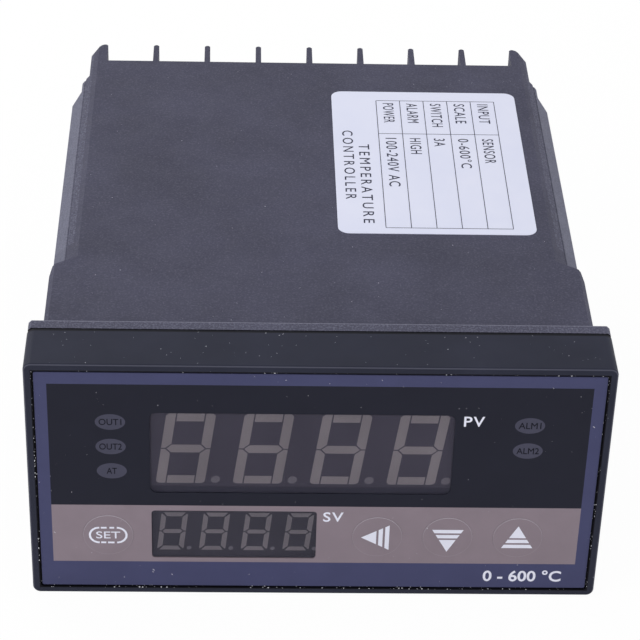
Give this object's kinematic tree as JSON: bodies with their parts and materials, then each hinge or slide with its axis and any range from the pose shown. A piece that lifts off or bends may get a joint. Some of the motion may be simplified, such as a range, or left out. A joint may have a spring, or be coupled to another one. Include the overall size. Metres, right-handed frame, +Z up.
{
  "type": "panel temperature controller",
  "caption": "Panel-mounting digital temperature controller: a wide front frame with film keys and two digit displays, a deep ribbed case and screw terminals between rear fins.",
  "frame": {"origin": "centre of the panel plane, where the rear face of the case flange meets the panel", "axes": "+X to the viewer's right, +Y from the front to the rear, +Z up"},
  "size_m": [0.096, 0.11, 0.048],
  "materials": {
    "case_plastic": "fine texture",
    "frame_plastic": "satin",
    "printed_film": "semi-gloss",
    "label_film": "satin",
    "tinned_brass": "plated",
    "plated_steel": "bright zinc",
    "circuit_board": "solder mask",
    "display_shell": "matte",
    "segment_resin": "milky",
    "black_nylon": "matte",
    "white_nylon": "matte",
    "core_steel": "varnished",
    "winding_tape": "tape",
    "relay_blue": "moulded",
    "can_sleeve": "shrink sleeve",
    "chip_resin": "matte",
    "lamp_resin": "diffused"
  },
  "bodies": {
    "case": {"case": "case_plastic", "rating_label": "label_film", "terminal_contacts": "tinned_brass", "clamp_washers": "plated_steel", "terminal_screws": "plated_steel"},
    "front_unit": {"front_frame": "frame_plastic", "front_film": "printed_film", "display_board": "circuit_board", "board_screws": "plated_steel", "pv_display": "display_shell", "pv_segments": "segment_resin", "sv_display": "display_shell", "sv_segments": "segment_resin", "switch_set": "black_nylon", "switch_shift": "black_nylon", "switch_down": "black_nylon", "switch_up": "black_nylon", "lamp_out1": "lamp_resin", "lamp_out2": "lamp_resin", "lamp_at": "lamp_resin", "lamp_alm1": "lamp_resin", "lamp_alm2": "lamp_resin", "logic_board": "circuit_board", "power_board": "circuit_board", "logic_header": "black_nylon", "power_header": "black_nylon", "transformer_core": "core_steel", "transformer_bobbin": "white_nylon", "transformer_winding": "winding_tape", "output_relay": "relay_blue", "alarm_relay": "relay_blue", "supply_capacitor": "can_sleeve", "filter_capacitor": "can_sleeve", "microcontroller": "chip_resin", "input_converter": "chip_resin", "voltage_regulator": "chip_resin"},
    "set_key": {"key_set": "white_nylon", "plunger_set": "black_nylon"},
    "shift_key": {"key_shift": "white_nylon", "plunger_shift": "black_nylon"},
    "down_key": {"key_down": "white_nylon", "plunger_down": "black_nylon"},
    "up_key": {"key_up": "white_nylon", "plunger_up": "black_nylon"}
  },
  "joints": [
    {"name": "front_unit_draw", "type": "slide", "parent": "case", "child": "front_unit", "axis": [0, -1, 0], "range_m": [0, 0.085]},
    {"name": "set_key_press", "type": "slide", "parent": "front_unit", "child": "set_key", "axis": [0, 1, 0], "range_m": [0, 0.00025], "stiffness_N_per_m": 4000, "springref_m": -0.0001},
    {"name": "shift_key_press", "type": "slide", "parent": "front_unit", "child": "shift_key", "axis": [0, 1, 0], "range_m": [0, 0.00025], "stiffness_N_per_m": 4000, "springref_m": -0.0001},
    {"name": "down_key_press", "type": "slide", "parent": "front_unit", "child": "down_key", "axis": [0, 1, 0], "range_m": [0, 0.00025], "stiffness_N_per_m": 4000, "springref_m": -0.0001},
    {"name": "up_key_press", "type": "slide", "parent": "front_unit", "child": "up_key", "axis": [0, 1, 0], "range_m": [0, 0.00025], "stiffness_N_per_m": 4000, "springref_m": -0.0001}
  ]
}
